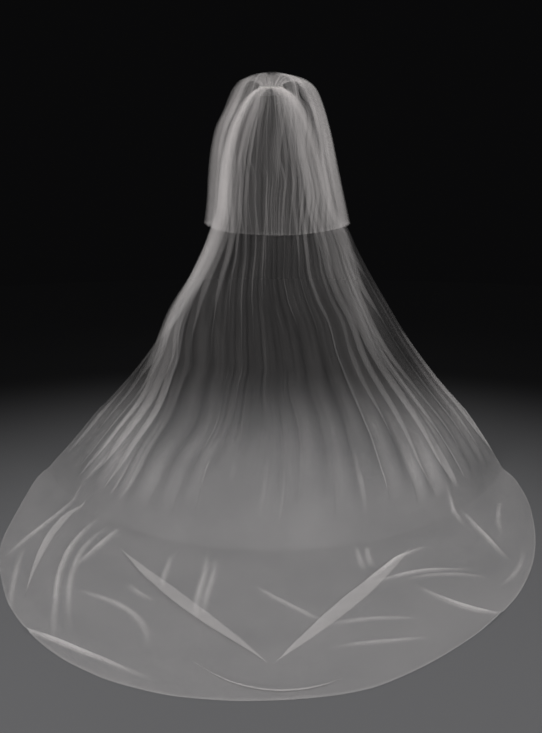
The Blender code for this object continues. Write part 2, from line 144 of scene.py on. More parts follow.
SHORT_STREAKS = {
    "left_shoulder": (0.02, -0.40, 0.14, -0.34, 0.30, -0.40, 0.13, 0.9),
    "right_shoulder": (0.02, 0.40, 0.14, 0.34, 0.30, 0.40, 0.13, 0.9),
    "window_left": (0.16, -0.18, 0.33, -0.30, 0.62, -0.42, 0.055, 1.0),
    "window_right": (0.15, 0.24, 0.39, 0.33, 0.66, 0.42, 0.050, 1.1),
    "window_fold": (0.16, 0.10, 0.33, 0.10, 0.62, 0.06, 0.055, 1.1),
    "window_stripe": (0.15, 0.175, 0.33, 0.175, 0.60, 0.16, 0.020, -0.7),
    "window_gap": (0.20, -0.09, 0.33, -0.10, 0.60, -0.12, 0.070, -0.4),
    "left_bundle": (0.20, -0.48, 0.45, -0.60, 0.81, -0.52, 0.060, 1.0),
    "right_bundle": (0.16, 0.62, 0.47, 0.66, 0.81, 0.70, 0.060, 1.0),
    "left_patch": (0.18, -0.38, 0.32, -0.42, 0.52, -0.46, 0.045, -0.85),
    "right_patch": (0.18, 0.46, 0.34, 0.50, 0.54, 0.53, 0.045, -0.85),
    "left_front_gap": (0.24, -0.74, 0.50, -0.76, 0.81, -0.72, 0.050, -0.8),
    "left_front_bundle": (0.20, -0.86, 0.50, -0.90, 0.81, -0.88, 0.050, 0.7),
    "right_front_bundle": (0.20, 0.88, 0.50, 0.86, 0.81, 0.90, 0.050, 0.7),
    "right_front_gap": (0.30, 0.76, 0.55, 0.77, 0.81, 0.79, 0.040, -0.7),
}
# The share of a streak's length over which it fades at each end
STREAK_ENDS = 0.25

# Wings: the stretches beside the free edges where the cloth hangs in one layer, beyond a fold line
WING_COLUMNS = ("from_run", "from_place", "bend_run", "bend_place", "to_run", "to_place", "opens_over")
WINGS = {
    "left_wing": (1.15, -0.80, 1.45, -0.68, 1.85, -0.75, 0.20),
    "right_wing": (0.55, 0.90, 1.15, 0.61, 1.70, 0.70, 0.25),
}
WING_FULLNESS = 0.30
WING_EDGE = 0.05

# The train's laid folds: start, bend and end on the floor, how far the cloth laps over itself to each side,
# how high the fold stands and where along it that is most
FOLD_COLUMNS = ("start_x", "start_y", "middle_x", "middle_y", "end_x", "end_y", "lap", "height", "widest")
TRAIN_FOLDS = {
    "point_left": (-0.560, -0.96, -0.330, -1.355, 0.003, -1.820, 0.031, 0.010, 0.60),
    "point_right": (0.520, -0.96, 0.295, -1.360, 0.003, -1.820, 0.027, 0.010, 0.57),
    "left_wide": (-0.740, -0.55, -0.815, -0.880, -0.790, -1.430, 0.015, 0.010, 0.42),
    "left_thin": (-0.770, -0.42, -0.890, -0.790, -0.945, -1.090, 0.000, 0.010, 0.45),
    "left_long": (-0.650, -0.70, -0.710, -1.150, -0.640, -1.680, 0.000, 0.013, 0.50),
    "left_long_pair": (-0.610, -0.80, -0.672, -1.150, -0.605, -1.620, 0.000, 0.009, 0.50),
    "left_short": (-0.570, -0.80, -0.620, -0.990, -0.670, -1.150, 0.000, 0.012, 0.45),
    "left_faint": (-0.910, -1.00, -0.870, -1.260, -0.815, -1.480, 0.000, 0.007, 0.50),
    "left_hem": (-0.760, -1.60, -0.550, -1.745, -0.330, -1.900, 0.000, 0.012, 0.40),
    "left_inner": (-0.630, -1.34, -0.450, -1.510, -0.360, -1.720, 0.000, 0.008, 0.45),
    "middle_hem": (-0.290, -1.73, -0.030, -1.955, 0.210, -1.880, 0.012, 0.008, 0.62),
    "right_side": (0.750, -0.60, 0.790, -0.870, 0.830, -1.100, 0.000, 0.013, 0.55),
    "right_side_pair": (0.700, -0.52, 0.720, -0.640, 0.730, -0.780, 0.000, 0.009, 0.50),
    "right_cross": (0.380, -1.33, 0.510, -1.215, 0.690, -1.180, 0.000, 0.009, 0.55),
    "right_cross_pair": (0.480, -1.27, 0.600, -1.225, 0.730, -1.245, 0.000, 0.007, 0.50),
    "right_corner": (0.500, -1.32, 0.600, -1.455, 0.735, -1.510, 0.000, 0.013, 0.50),
    "right_crumple": (0.640, -1.62, 0.690, -1.560, 0.730, -1.490, 0.000, 0.010, 0.50),
    "right_outside": (0.560, -0.97, 0.430, -1.150, 0.350, -1.320, 0.000, 0.009, 0.45),
    "inside_left": (-0.230, -1.04, -0.200, -1.330, -0.180, -1.520, 0.000, 0.011, 0.50),
    "inside_left_pair": (-0.195, -1.08, -0.178, -1.330, -0.160, -1.500, 0.000, 0.009, 0.50),
    "inside_far_left": (-0.345, -1.04, -0.325, -1.210, -0.310, -1.310, 0.000, 0.008, 0.50),
    "inside_right": (0.345, -0.97, 0.330, -1.060, 0.320, -1.150, 0.000, 0.009, 0.50),
    "inside_right_pair": (0.305, -0.98, 0.298, -1.080, 0.290, -1.180, 0.000, 0.008, 0.50),
    "inside_cross": (-0.060, -1.30, 0.035, -1.430, 0.130, -1.550, 0.000, 0.007, 0.50),
    "right_hem_a": (0.200, -1.62, 0.330, -1.560, 0.460, -1.540, 0.000, 0.006, 0.50),
    "right_hem_b": (0.180, -1.74, 0.330, -1.690, 0.480, -1.660, 0.000, 0.006, 0.50),
    "right_hem_c": (0.760, -1.30, 0.840, -1.190, 0.900, -1.020, 0.000, 0.006, 0.50),
    "right_hem_d": (0.860, -0.86, 0.880, -0.700, 0.930, -0.520, 0.000, 0.007, 0.50),
    "left_hem_a": (-0.500, -1.30, -0.460, -1.380, -0.410, -1.440, 0.000, 0.006, 0.50),
}
# How far round a lap the cloth is pulled in, and how wide and how much closer woven a plain ridge looks
FOLD_SAMPLES = 33
FOLD_END_THINNING = 1.1
FOLD_END_REACH = 0.03
LAP_REACH = 0.26
RIDGE_HALF_WIDTH = 0.0075
RIDGE_CLOSENESS = 2.2
RIDGE_FULL_HEIGHT = 0.012

# Folds down the cloth: how many there are, how unevenly wide, and how far a fold turns at the most, in
# radians, before its loops would touch
LONG_FOLD_COUNT = 26
SHORT_FOLD_COUNT = 30
NARROWEST_FOLD = 0.5
WIDEST_FOLD = 1.6
MOST_TURN = 2.10
POINTS_A_FOLD = 19
FULLNESS_UNEVENNESS = 0.75
DEPTH_UNEVENNESS = 0.30
LONG_FOLDS_OUTSIDE = 0.15
SHORT_FOLDS_OUTSIDE = 0.40
CROWN_PRESSED = 0.35
CROWN_OPENS_OVER = 0.26
FALL_ROW_COUNT = 188
TRAIN_ROW_COUNT = 188
SHORT_ROW_COUNT = 150
ROWS_CLOSER_AT_ENDS = 0.40

# How the folds' widths wander across the cloth and down it, and how their depths do
WANDER_COLUMNS = ("strength", "per_fold", "fold_start", "per_metre", "metre_start")
WIDTH_WANDERS = ((0.6, 0.57, 0.0, 0.9, 0.0), (0.6, 1.0, 20.3, 1.6, 11.0))
DEPTH_WANDER = (DEPTH_UNEVENNESS, 1.0, 5.5, 1.4, 30.0)

# Seeds of everything uneven
LONG_FOLD_SEED = 11
LONG_DRAPE_SEED = 13
SHORT_FOLD_SEED = 21
SHORT_DRAPE_SEED = 23
BILLOW_SEED = 31
CRUMPLE_SEED = 32
PUCKER_SEED = 41

# Filling a row with cloth: how sharply a stretch turns from one layer to several, the most layers tried and
# how many times the search halves
LAYER_SHARPNESS = 5
MOST_LAYERS = 200.0
LAYER_HALVINGS = 44

# The runs between which the long tier spreads evenly on to the floor
LAID_FROM = 1.15
FLAT_FROM = 1.72
CREASED_FROM = 1.75
CREASED_OVER = 0.25

# Billows of the fall and crumples of the train: how high they are, and how closely they follow each other
BILLOW_FROM = 0.55
BILLOW_OVER = 0.4
BILLOW_DEPTH = 0.006
BILLOWS_ACROSS = 6.0
BILLOWS_DOWN = 2.6
CRUMPLE_HEIGHT = 0.003
CRUMPLES_SIDEWAYS = 11.0
CRUMPLES_ALONG = 9.0
CRUMPLES_START = 0.12

# Net: the share of light that one flat layer stops, and the gains where it lies or slants
NET_COVER = 0.029
NET_CELL = 0.0016
LYING_GAIN = 6.4
LYING_HEIGHT = 0.50
SLANT_LIMIT = 0.60
EDGE_GAIN = 1.6
EDGE_WIDTH = 0.010

# Ribbon that binds the gathers, and the comb's bar below it, as in the part
RIBBON_LENGTH = 0.104
RIBBON_DEPTH = 0.005
RIBBON_HEIGHT = 0.008
RIBBON_ROUNDING = 0.0012
RIBBON_CUTS = 103
RIBBON_ROUNDING_STEPS = 3
PUCKER_WIDTH = 0.0042
PUCKER_DEPTH = 0.00035
COMB_BAR_Z = -0.0060
COMB_BAR_HEIGHT = 0.0034
TOOTH_COUNT = 20
TOOTH_SPREAD = 0.0956

# Stitches: thread that sews the ribbon to the comb between its teeth, and two rows along the ribbon
THREAD_RADIUS = 0.0003
LOOP_HALF_DEPTH = 0.0031
LOOP_HALF_HEIGHT = 0.0040
LOOP_LEAN = 14.0
ROW_STITCH_LENGTH = 0.0019
ROW_STITCH_STEP = 0.0031
ROW_STITCH_HEIGHT = 0.0019
ROW_STITCH_SHARE = 0.94

# Colours: linear red, green, blue and alpha
TULLE_COLOUR = (0.93, 0.89, 0.88, 1.0)
RIBBON_COLOUR = (0.42, 0.40, 0.38, 1.0)
THREAD_COLOUR = (0.90, 0.88, 0.85, 1.0)
METAL_COLOUR = (0.72, 0.73, 0.75, 1.0)
FLOOR_COLOUR = (0.16, 0.16, 0.165, 1.0)
BACKDROP_COLOUR = (0.0028, 0.0028, 0.0030, 1.0)
# The floor's painted shade: the colour it is painted where the painted pool of light has faded out
FLOOR_PAINTED_SHADE_COLOUR = (0.004, 0.004, 0.004, 1.0)
DARK = (0.0, 0.0, 0.0, 1.0)

# Camera: the photograph's eye point and angle of view
EYE = (0.0, -4.5, 1.5 - CROWN_HEIGHT)
EYE_PITCH = 13.3
SENSOR = 36.0
LENS = 51.3

# Studio
FLOOR_RADIUS = 7.0
FLOOR_MIDDLE_Y = -1.45
FLOOR_DROP = 0.0015
# Painted pool of light on the floor: full floor colour within the radius, painted darker over the fade beyond
# it
PAINTED_POOL_RADIUS = 0.90
PAINTED_POOL_FADE = 2.50
LIGHT_COLUMNS = ("x", "y", "z", "aim_x", "aim_y", "aim_z", "size", "power", "spread")
LIGHTS = {
    "key": (-2.3, -4.3, 1.5, 0.0, -0.2, -0.5, 2.4, 78.0, 120.0),
    "fill": (2.6, -4.0, 0.7, 0.0, -0.2, -0.5, 2.4, 45.0, 120.0),
    "front": (0.4, 3.6, 1.6, 0.0, 0.0, -0.5, 2.0, 26.0, 100.0),
}


def table(columns, rows):
    """A table's columns as arrays, by name."""
    return dict(zip(columns, np.array(rows, dtype=float).T))


LONG = table(SECTION_COLUMNS, LONG_SECTIONS)
SHORT = table(SECTION_COLUMNS, SHORT_SECTIONS)


def smooth_step(value):
    """Rise from 0 to 1 with level ends as value goes from 0 to 1."""
    inside = np.clip(value, 0.0, 1.0)
    return inside * inside * (3.0 - 2.0 * inside)


def smooth_column(runs, values, at):
    """A cubic curve through a table's column, which never overshoots its rows."""
    runs = np.asarray(runs, dtype=float)
    values = np.asarray(values, dtype=float)
    steps = np.diff(runs)
    slopes = np.diff(values) / steps
    tangents = np.zeros(len(runs))
    rising = slopes[:-1] * slopes[1:] > 0
    weight_a = 2.0 * steps[1:] + steps[:-1]
    weight_b = steps[1:] + 2.0 * steps[:-1]
    inner = np.zeros(len(slopes) - 1)
    inner[rising] = ((weight_a + weight_b)[rising]
                     / (weight_a[rising] / slopes[:-1][rising] + weight_b[rising] / slopes[1:][rising]))
    tangents[1:-1] = inner
    tangents[0] = slopes[0]
    tangents[-1] = slopes[-1]
    index = np.clip(np.searchsorted(runs, at, side="right") - 1, 0, len(steps) - 1)
    width = steps[index]
    part = np.clip((at - runs[index]) / width, 0.0, 1.0)
    square = part * part
    cube = square * part
    return ((2 * cube - 3 * square + 1) * values[index] + (cube - 2 * square + part) * width * tangents[index]
            + (3 * square - 2 * cube) * values[index + 1] + (cube - square) * width * tangents[index + 1])


def place_on_form(sections, across, run):
    """The plain form of a tier, before its folds: an arc at each run, open at the front."""
    at = {name: smooth_column(sections["run"], sections[name], run)
          for name in SECTION_COLUMNS if name != "run"}
    left = across < 0
    edge_x = np.where(left, at["left_x"], at["right_x"])
    wrap = np.radians(np.where(left, at["left_wrap"], at["right_wrap"]))
    reach = np.abs(across)
    angle = reach * wrap
    x = np.sign(across) * edge_x * np.sin(angle) / np.sin(wrap)
    y = at["back_y"] + (at["edge_y"] - at["back_y"]) * (1.0 - np.cos(angle)) / (1.0 - np.cos(wrap))
    height = at["back_h"] + (at["edge_h"] - at["back_h"]) * reach * reach
    return np.stack((x, y, height - CROWN_HEIGHT), axis=-1)


def outward(sections, across, run):
    """Unit normals of the plain form: away from the wearer, and up on the floor."""
    small = 0.001
    low_across = np.clip(across - small, -1.0, 1.0)
    high_across = np.clip(across + small, -1.0, 1.0)
    low_run = np.clip(run - small, 0.0, sections["run"][-1])
    high_run = np.clip(run + small, 0.0, sections["run"][-1])
    sideways = place_on_form(sections, high_across, run) - place_on_form(sections, low_across, run)
    downwards = place_on_form(sections, across, high_run) - place_on_form(sections, across, low_run)
    normal = np.cross(downwards, sideways)
    return normal / np.linalg.norm(normal, axis=-1, keepdims=True)


class Wander:
    """A smooth uneven surface through seeded random values, for two measures at a time."""

    def __init__(self, seed, size=61):
        self.size = size
        self.values = np.random.default_rng(seed).uniform(-1.0, 1.0, (size, size))

    def __call__(self, first, second):
        first, second = np.broadcast_arrays(first, second)
        low_a = np.floor(first).astype(int)
        low_b = np.floor(second).astype(int)
        part_a = smooth_step(first - low_a)
        part_b = smooth_step(second - low_b)
        near = (self.values[low_a % self.size, low_b % self.size] * (1.0 - part_a)
                + self.values[(low_a + 1) % self.size, low_b % self.size] * part_a)
        far = (self.values[low_a % self.size, (low_b + 1) % self.size] * (1.0 - part_a)
               + self.values[(low_a + 1) % self.size, (low_b + 1) % self.size] * part_a)
        return near * (1.0 - part_b) + far * part_b


# A fold's course is worked out for turns up to just over the most, at even steps along the fold
TURNS = np.linspace(0.0, 2.35, 300)
PHASES = np.linspace(0.0, 2.0 * math.pi, 241)


def running_sum(values, step):
    """The area under each row of values up to each of its points."""
    middles = (values[:, 1:] + values[:, :-1]) / 2.0
    return np.concatenate((np.zeros((len(values), 1)), np.cumsum(middles, axis=1) * step), axis=1)


def meander_tables():
    """For each turn: the chord of one fold of length 1 across the cloth, and its course."""
    angle = TURNS[:, None] * np.sin(PHASES)[None, :]
    step = PHASES[1] / (2.0 * math.pi)
    along = running_sum(np.cos(angle), step)
    return along[:, -1], along, running_sum(np.sin(angle), step)


CHORDS, ALONG, AWAY = meander_tables()


def meander(turn, phase):
    """Course of a fold at a phase from 0 to 1, for arrays of turns and phases."""
    row = np.clip(turn / TURNS[1], 0.0, len(TURNS) - 1.001)
    low = row.astype(int)
    part = row - low
    column = np.clip(phase * (len(PHASES) - 1), 0.0, len(PHASES) - 1.001)
    left = column.astype(int)
    side = column - left

    def read(grid):
        top = grid[low, left] * (1 - side) + grid[low, left + 1] * side
        bottom = grid[low + 1, left] * (1 - side) + grid[low + 1, left + 1] * side
        return top * (1 - part) + bottom * part

    chord = CHORDS[low] * (1 - part) + CHORDS[low + 1] * part
    return chord, read(ALONG), read(AWAY)


def arc_lengths(sections, runs, samples=401):
    """Places across and the length of the row up to each, for every run."""
    across = np.linspace(-1.0, 1.0, samples)
    points = place_on_form(sections, *np.broadcast_arrays(across[None, :], runs[:, None]))
    steps = np.linalg.norm(np.diff(points, axis=1), axis=2)
    lengths = np.concatenate((np.zeros((len(runs), 1)), np.cumsum(steps, axis=1)), axis=1)
    return across, lengths


def route_of(row, runs):
    """The place across the form of a streak or fold line, at each run."""
    return smooth_column((row["from_run"], row["bend_run"], row["to_run"]),
                         (row["from_place"], row["bend_place"], row["to_place"]), runs)


def fullness(rows, streaks, wings, runs, across):
    """Layers of cloth at each place of each row, against each other."""
    base = table(FULLNESS_COLUMNS, rows)
    columns = np.stack([smooth_column(base["run"], base[name], runs) for name in FULLNESS_COLUMNS[1:]],
                       axis=1)
    layers = np.stack([smooth_column(PLACES, row, across) for row in columns])
    for values in streaks.values():
        streak = dict(zip(STREAK_COLUMNS, values))
        ends = STREAK_ENDS * (streak["to_run"] - streak["from_run"])
        fade = smooth_step((runs - streak["from_run"]) / ends) * smooth_step((streak["to_run"] - runs) / ends)
        away = (across[None, :] - route_of(streak, runs)[:, None]) / streak["width"]
        layers *= 1.0 + streak["layers"] * np.exp(-away * away) * fade[:, None]
    for values in wings.values():
        wing = dict(zip(WING_COLUMNS, values))
        opened = smooth_step((runs - wing["from_run"]) / wing["opens_over"])
        side = math.copysign(1.0, wing["from_place"])
        beyond = smooth_step((across[None, :] * side - side * route_of(wing, runs)[:, None]) / WING_EDGE)
        layers *= 1.0 + (WING_FULLNESS - 1.0) * beyond * opened[:, None]
    return layers


def fill_rows(layers, lengths):
    """Cloth up to each place of each row, so that the whole width hangs there and no stretch is pulled
    thinner than one layer."""
    steps = np.diff(lengths, axis=1)
    middles = (layers[:, 1:] + layers[:, :-1]) / 2.0
    low = np.zeros(len(lengths))
    high = np.full(len(lengths), MOST_LAYERS)
    for _ in range(LAYER_HALVINGS):
        scale = (low + high) / 2.0
        real = (1.0 + (scale[:, None] * middles) ** LAYER_SHARPNESS) ** (1.0 / LAYER_SHARPNESS)
        short = (real * steps).sum(axis=1) < CLOTH_WIDTH
        low = np.where(short, scale, low)
        high = np.where(short, high, scale)
    cloth = np.concatenate((np.zeros((len(lengths), 1)), np.cumsum(real * steps, axis=1)), axis=1)
    return cloth * (CLOTH_WIDTH / cloth[:, -1:])


def fold_edges(count, seed):
    """Where the folds start across the cloth, in metres from the left side edge, unevenly apart."""
    widths = np.random.default_rng(seed).uniform(NARROWEST_FOLD, WIDEST_FOLD, count)
    return np.concatenate(([0.0], np.cumsum(widths * CLOTH_WIDTH / widths.sum())))


def wandering(wander, values, number, runs):
    """How far each fold strays at each run."""
    row = dict(zip(WANDER_COLUMNS, values))
    return row["strength"] * wander(number * row["per_fold"] + row["fold_start"],
                                    runs[:, None] * row["per_metre"] + row["metre_start"])


def drape(cloth, lengths, runs, edges, outside, pressed, seed):
    """Where each point of the cloth lies along its row, how far it stands off the plain form, and how many
    times closer together its threads are than in flat cloth. Outside is the share of a fold's depth that
    lies outside the form, and pressed how much of its depth is left, both for each run."""
    widths = np.diff(edges)
    whole = lengths[:, -1]
    places = np.stack([np.interp(edges, cloth[row], lengths[row]) for row in range(len(runs))])
    chords = np.diff(places, axis=1)
    share = np.minimum(chords / widths[None, :], 1.0)
    wander = Wander(seed)
    number = np.arange(len(widths))[None, :]
    uneven = sum(wandering(wander, values, number, runs) for values in WIDTH_WANDERS)
    chords = chords * np.exp(FULLNESS_UNEVENNESS * uneven * np.sqrt(1.0 - share))
    chords *= (whole / chords.sum(axis=1))[:, None]
    starts = np.concatenate((np.zeros((len(runs), 1)), np.cumsum(chords, axis=1)[:, :-1]), axis=1)
    turns = np.interp(-np.minimum(chords / widths[None, :], 1.0), -CHORDS, TURNS)
    flat = 1.0 - smooth_step((runs - FLAT_FROM) / (FLOOR_RUN - FLAT_FROM))
    turns = np.minimum(turns, MOST_TURN) * flat[:, None]
    phases = np.arange(POINTS_A_FOLD) / POINTS_A_FOLD
    chord, along, away = meander(*np.broadcast_arrays(turns[:, :, None], phases[None, None, :]))
    size = chords[:, :, None] / chord
    depth = 1.0 + wandering(wander, DEPTH_WANDER, number, runs)
    deepest = np.interp(turns, TURNS, AWAY[:, len(PHASES) // 2])[:, :, None]
    position = (starts[:, :, None] + size * along).reshape(len(runs), -1)
    inside = (1.0 - outside)[:, None, None] * deepest
    distance = (size * (away - inside) * (depth * pressed[:, None])[:, :, None]).reshape(len(runs), -1)
    closeness = np.maximum(widths[None, :, None] / size, 1.0).reshape(len(runs), -1)
    position = np.concatenate((position, whole[:, None]), axis=1)
    distance = np.concatenate((distance, distance[:, :1]), axis=1)
    closeness = np.concatenate((closeness, closeness[:, -1:]), axis=1)
    return position, distance, closeness


def across_at(position, lengths, across):
    """The place across the form of each position along its row."""
    return np.stack([np.interp(position[row], lengths[row], across) for row in range(len(position))])


def end_run(across):
    """The run of the long tier's hem: straight sides, then an oval end."""
    squareness = np.where(across < 0, LEFT_END_SQUARENESS, RIGHT_END_SQUARENESS)
    rounding = np.where(across < 0, LEFT_END_ROUNDING, RIGHT_END_ROUNDING)
    oval = np.clip(1.0 - np.abs(across) ** squareness, 0.0, 1.0) ** rounding
    return LONG_SIDE_RUN + (LONG_MIDDLE_RUN - LONG_SIDE_RUN) * oval


def short_end_run(across):
    """The run of the short tier's hem, a little longer behind than at the sides."""
    return SHORT_SIDE_RUN + (SHORT_MIDDLE_RUN - SHORT_SIDE_RUN) * (1.0 - across * across)


class Fold:
    """One fold of the train: its route over the floor, and how a point of the cloth lies beside it."""

    def __init__(self, values):
        self.size = dict(zip(FOLD_COLUMNS, values))
        self.part = np.linspace(0.0, 1.0, FOLD_SAMPLES)
        part = self.part
        self.route = []
        self.slope = []
        for axis in "xy":
            start = self.size["start_" + axis]
            end = self.size["end_" + axis]
            bend = 2.0 * self.size["middle_" + axis] - (start + end) / 2.0
            self.route.append((1 - part) ** 2 * start + 2 * part * (1 - part) * bend + part ** 2 * end)
            self.slope.append(2 * (1 - part) * (bend - start) + 2 * part * (end - bend))

    def near(self, points):
        """Which points lie close enough for the fold to move them."""
        inside = np.ones(points.shape[:-1], dtype=bool)
        for axis in (0, 1):
            inside &= points[..., axis] > min(self.route[axis]) - LAP_REACH
            inside &= points[..., axis] < max(self.route[axis]) + LAP_REACH
        return inside

    def beside(self, here):
        """For points near the fold: how far along it, how far to its side, how far past its ends, and the
        direction across it."""
        away = [here[:, axis, None] - self.route[axis] for axis in (0, 1)]
        nearest = np.argmin(away[0] ** 2 + away[1] ** 2, axis=1)
        low = np.clip(nearest - 1, 0, FOLD_SAMPLES - 1)
        high = np.clip(nearest + 1, 0, FOLD_SAMPLES - 1)
        chord = [self.route[axis][high] - self.route[axis][low] for axis in (0, 1)]
        start = [here[:, axis] - self.route[axis][low] for axis in (0, 1)]
        passed = (start[0] * chord[0] + start[1] * chord[1]) / (chord[0] ** 2 + chord[1] ** 2)
        at = self.part[low] + np.clip(passed, 0.0, 1.0) * (self.part[high] - self.part[low])
        way = [np.interp(at, self.part, self.slope[axis]) for axis in (0, 1)]
        length = np.hypot(way[0], way[1])
        off = [here[:, axis] - np.interp(at, self.part, self.route[axis]) for axis in (0, 1)]
        across = (-way[1] / length, way[0] / length)
        return (at, off[0] * across[0] + off[1] * across[1],
                np.abs(off[0] * way[0] + off[1] * way[1]) / length, across)

    def strength(self, at, beyond):
        """How fully the fold is there along its length: thin at both ends."""
        widest = self.size["widest"]
        rise = widest / (1.0 - widest)
        most = widest ** rise * (1.0 - widest)
        inside = np.clip(at, 0.0, 1.0)
        return (inside ** rise * (1.0 - inside) / most) ** FOLD_END_THINNING * (
            1.0 - smooth_step(beyond / FOLD_END_REACH))


def lay_folds(points, weight):
    """Lap and lift the cloth along the train's folds, as much as weight says at each point. Gives the moved
    points and how much closer the threads lie on the ridges."""
    moved = points.copy()
    closer = np.ones(points.shape[:-1])
    for values in TRAIN_FOLDS.values():
        fold = Fold(values)
        near = fold.near(points) & (weight > 0.0)
        if not near.any():
            continue
        at, side, beyond, across = fold.beside(points[near])
        strength = fold.strength(at, beyond) * weight[near]
        height = fold.size["height"] * strength
        if fold.size["lap"] == 0.0:
            ridge = np.exp(-(side / RIDGE_HALF_WIDTH) ** 2)
            moved[near, 2] += height * ridge
            closer[near] += RIDGE_CLOSENESS * fold.size["height"] / RIDGE_FULL_HEIGHT * ridge * strength
            continue
        lap = fold.size["lap"] * strength
        half = lap + 0.0001
        size = np.abs(side)
        pull = (lap + half) * (1.0 - smooth_step((size - half) / (LAP_REACH - half)))
        shift = np.where(size < half, -lap / half * side, side - np.sign(side) * pull) - side
        turned = (side / half + 1.0) / 2.0
        top = 1.0 - smooth_step((side - half) / (2.0 * half + 2.0 * lap + 0.001))
        stack = np.where(side < -half, 0.0, np.where(side > half, top, turned))
        for axis in (0, 1):
            moved[near, axis] += across[axis] * shift
        moved[near, 2] += height * stack
    return moved, closer


def grid_normals(points):
    """Unit normals of a grid of points."""
    normal = np.cross(np.gradient(points, axis=0), np.gradient(points, axis=1))
    return normal / np.maximum(np.linalg.norm(normal, axis=-1, keepdims=True), 1e-12)


def cover_of(points, form_normals, closeness):
    """The share of light that the net stops: more where its threads are gathered, slant or near the floor."""
    facing = np.abs((grid_normals(points) * form_normals).sum(axis=-1))
    lying = 1.0 + (LYING_GAIN - 1.0) * (1.0 - smooth_step((points[..., 2] + CROWN_HEIGHT) / LYING_HEIGHT))
    threads = closeness * lying / np.clip(facing, SLANT_LIMIT, 1.0)
    return 1.0 - (1.0 - NET_COVER) ** threads


def edge_closeness(across_cloth, run, last_run):
    """The raw edges curl a little, so their threads look closer."""
    from_side = (1.0 - np.abs(across_cloth)) * CLOTH_WIDTH / 2.0
    from_hem = last_run - run
    nearest = np.minimum(from_side, from_hem)
    return 1.0 + (EDGE_GAIN - 1.0) * np.exp(-(nearest / EDGE_WIDTH) ** 2)


def sheet_mesh(name, points, cover, cloth_run):
    """A single-surface sheet through a grid of points, with its cloth measures as its UV map."""
    rows, columns = points.shape[:2]
    bpy.ops.mesh.primitive_grid_add(x_subdivisions=columns - 1, y_subdivisions=rows - 1, size=2.0)
    sheet = bpy.context.object
    sheet.name = name
    mesh = sheet.data
    mesh.name = name
    flat = np.empty(len(mesh.vertices) * 3)
    mesh.vertices.foreach_get("co", flat)
    flat = flat.reshape(-1, 3)
    column = np.rint((flat[:, 0] + 1.0) / 2.0 * (columns - 1)).astype(int)
    row = np.rint((1.0 - flat[:, 1]) / 2.0 * (rows - 1)).astype(int)
    mesh.vertices.foreach_set("co", points[row, column].ravel())
    attribute = mesh.attributes.new("cover", "FLOAT", "POINT")
    attribute.data.foreach_set("value", cover[row, column].astype(np.float32))
    corner = np.empty(len(mesh.loops), dtype=np.int32)
    mesh.loops.foreach_get("vertex_index", corner)
    wide = column[corner] / (columns - 1) * CLOTH_WIDTH
    long = cloth_run[row[corner], column[corner]]
    mesh.uv_layers[0].uv.foreach_set("vector", np.stack((wide, long), axis=1).ravel())
    mesh.shade_smooth()
    mesh.update()
    return sheet


def uneven_rows(end, count):
    """Runs from 0 to end, closer together at both ends."""
    part = np.linspace(0.0, 1.0, count)
    return end * (part - ROWS_CLOSER_AT_ENDS * np.sin(2.0 * math.pi * part) / (2.0 * math.pi))


def cloth_columns(edges):
    """Where the columns of the mesh lie across the cloth, from -1 to 1."""
    parts = np.arange(POINTS_A_FOLD) / POINTS_A_FOLD
    inner = (edges[:-1, None] + np.diff(edges)[:, None] * parts[None, :]).ravel()
    return np.append(inner, CLOTH_WIDTH)[None, :] / CLOTH_WIDTH * 2.0 - 1.0


def make_long_tier():
    """The long tier's two stretches: the fall, down to the floor, and the train on it."""
    runs = uneven_rows(FLOOR_RUN, FALL_ROW_COUNT)
    across, lengths = arc_lengths(LONG, runs)
    layers = fullness(LONG_FULLNESS, LONG_STREAKS, WINGS, runs, across)
    cloth = fill_rows(layers, lengths)
    laid = smooth_step((runs - LAID_FROM) / (FLOOR_RUN - LAID_FROM))[:, None]
    even = CLOTH_WIDTH * lengths / lengths[:, -1:]
    cloth = cloth * (1.0 - laid) + even * laid
    edges = fold_edges(LONG_FOLD_COUNT, LONG_FOLD_SEED)
    outside = np.full(len(runs), LONG_FOLDS_OUTSIDE)
    position, distance, closeness = drape(cloth, lengths, runs, edges, outside, np.ones(len(runs)),
                                          LONG_DRAPE_SEED)
    place = across_at(position, lengths, across)
    run = np.broadcast_to(runs[:, None], place.shape)
    normals = outward(LONG, place, run)
    columns = cloth_columns(edges)
    billow = Wander(BILLOW_SEED)(columns * BILLOWS_ACROSS + 20.0, run * BILLOWS_DOWN)
    distance = distance + BILLOW_DEPTH * billow * smooth_step((run - BILLOW_FROM) / BILLOW_OVER) * (
        1.0 - smooth_step((run - FLAT_FROM) / (FLOOR_RUN - FLAT_FROM)))
    points = place_on_form(LONG, place, run) + normals * distance[..., None]
    points, closer = lay_folds(points, smooth_step((run - CREASED_FROM) / CREASED_OVER))
    closer = closer * edge_closeness(columns, run, end_run(columns))
    fall = sheet_mesh("veil_fall", points, cover_of(points, normals, closeness * closer), run)

    place = np.broadcast_to(place[-1:], (TRAIN_ROW_COUNT, place.shape[1]))
    part = np.linspace(0.0, 1.0, TRAIN_ROW_COUNT)[:, None]
    run = FLOOR_RUN + (end_run(place) - FLOOR_RUN) * part
    form = place_on_form(LONG, place, run)
    up = np.broadcast_to(np.array((0.0, 0.0, 1.0)), form.shape)
    points, closer = lay_folds(form, np.ones(form.shape[:2]))
    crumple = 0.5 + 0.5 * Wander(CRUMPLE_SEED)(form[..., 0] * CRUMPLES_SIDEWAYS + 30.0,
                                               form[..., 1] * CRUMPLES_ALONG + 30.0)
    points[..., 2] += CRUMPLE_HEIGHT * crumple * smooth_step(part / CRUMPLES_START)
    closer = closer * edge_closeness(place, run, end_run(place))
    train = sheet_mesh("veil_train", points, cover_of(points, up, closer), run)
    return fall, train


